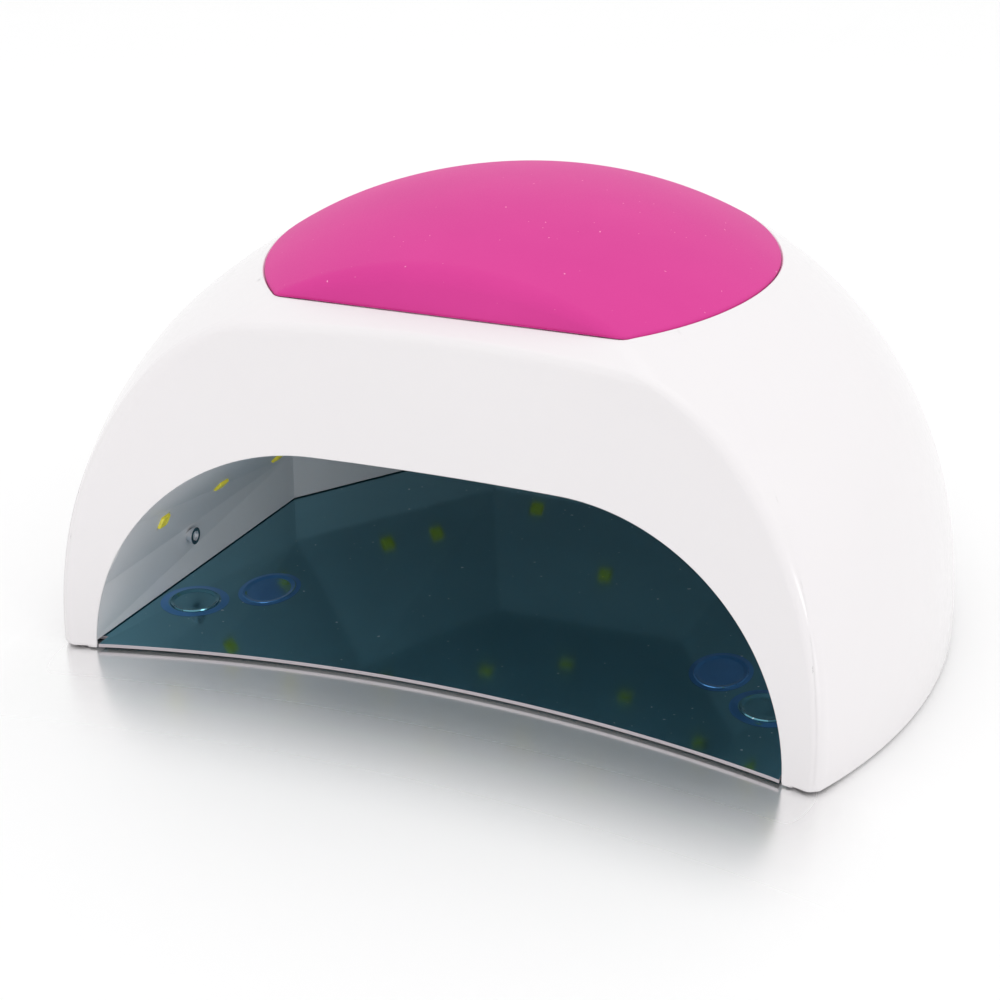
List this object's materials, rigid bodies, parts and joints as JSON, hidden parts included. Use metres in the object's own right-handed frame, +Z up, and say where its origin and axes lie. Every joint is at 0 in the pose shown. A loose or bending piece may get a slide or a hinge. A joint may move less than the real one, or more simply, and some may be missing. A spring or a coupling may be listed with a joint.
{
  "type": "uv led nail lamp",
  "caption": "Dome-shaped tabletop UV LED nail curing lamp with an arched hand opening, a removable mirror base plate, a silicone top pad and timer buttons at the back.",
  "frame": {"origin": "centre of the whole lamp's bounding box at the level of the table it stands on", "axes": "+Z up, +X across the width, -Y towards the hand opening"},
  "size_m": [0.22, 0.195, 0.1108],
  "materials": {
    "shell_white": "glossy moulded white",
    "pad_pink": "matte silicone",
    "reflector_grey": "satin silver grey",
    "frame_white": "moulded matte white",
    "tray_mirror": "mirror polished",
    "foot_rubber": "matte",
    "magnet_nickel": "nickel plated",
    "board_green": "solder resist",
    "led_yellow": "phosphor yellow",
    "bezel_chrome": "polished",
    "sensor_clear": "clear tinted",
    "sensor_dark": "smoked",
    "panel_grey": "satin grey",
    "window_dark": "smoked gloss",
    "display_red": "dark red",
    "button_white": "satin white",
    "switch_black": "matte",
    "part_slate": "sleeved",
    "ribbon_grey": "flat cable",
    "jack_black": "moulded black",
    "lead_red": "insulated lead",
    "screw_steel": "zinc plated"
  },
  "bodies": {
    "tray": {"base_plate": "tray_mirror", "plate_feet": "foot_rubber"},
    "head": {"outer_shell": "shell_white", "silicone_pad": "pad_pink", "reflector_liner": "reflector_grey", "bottom_frame": "frame_white", "plate_magnets": "magnet_nickel", "led_board_left": "board_green", "led_board_right": "board_green", "led_board_rear_left": "board_green", "led_board_rear_right": "board_green", "led_board_rear": "board_green", "led_board_top": "board_green", "led_emitters": "led_yellow", "sensor_bezels": "bezel_chrome", "sensor_emitter": "sensor_clear", "sensor_receiver": "sensor_dark", "control_panel": "panel_grey", "display_window": "window_dark", "display_module": "display_red", "tact_switches": "switch_black", "control_board": "board_green", "power_board": "board_green", "power_board_parts": "part_slate", "ribbon_cable": "ribbon_grey", "dc_jack": "jack_black", "wiring_harness": "lead_red", "shell_screws": "screw_steel", "board_screws": "screw_steel", "panel_screws": "screw_steel"},
    "timer_button_1": {"button_1": "button_white"},
    "timer_button_2": {"button_2": "button_white"},
    "timer_button_3": {"button_3": "button_white"},
    "timer_button_4": {"button_4": "button_white"}
  },
  "joints": [
    {"name": "head_lift", "type": "slide", "parent": "tray", "child": "head", "axis": [0, 0, 1], "range_m": [0, 0.06]},
    {"name": "button_1_press", "type": "slide", "parent": "head", "child": "timer_button_1", "axis": [0, -0.7431, -0.6691], "range_m": [0, 0.0008], "stiffness_N_per_m": 600, "springref_m": -0.001},
    {"name": "button_2_press", "type": "slide", "parent": "head", "child": "timer_button_2", "axis": [0, -0.7431, -0.6691], "range_m": [0, 0.0008], "stiffness_N_per_m": 600, "springref_m": -0.001},
    {"name": "button_3_press", "type": "slide", "parent": "head", "child": "timer_button_3", "axis": [0, -0.7431, -0.6691], "range_m": [0, 0.0008], "stiffness_N_per_m": 600, "springref_m": -0.001},
    {"name": "button_4_press", "type": "slide", "parent": "head", "child": "timer_button_4", "axis": [0, -0.7431, -0.6691], "range_m": [0, 0.0008], "stiffness_N_per_m": 600, "springref_m": -0.001}
  ]
}
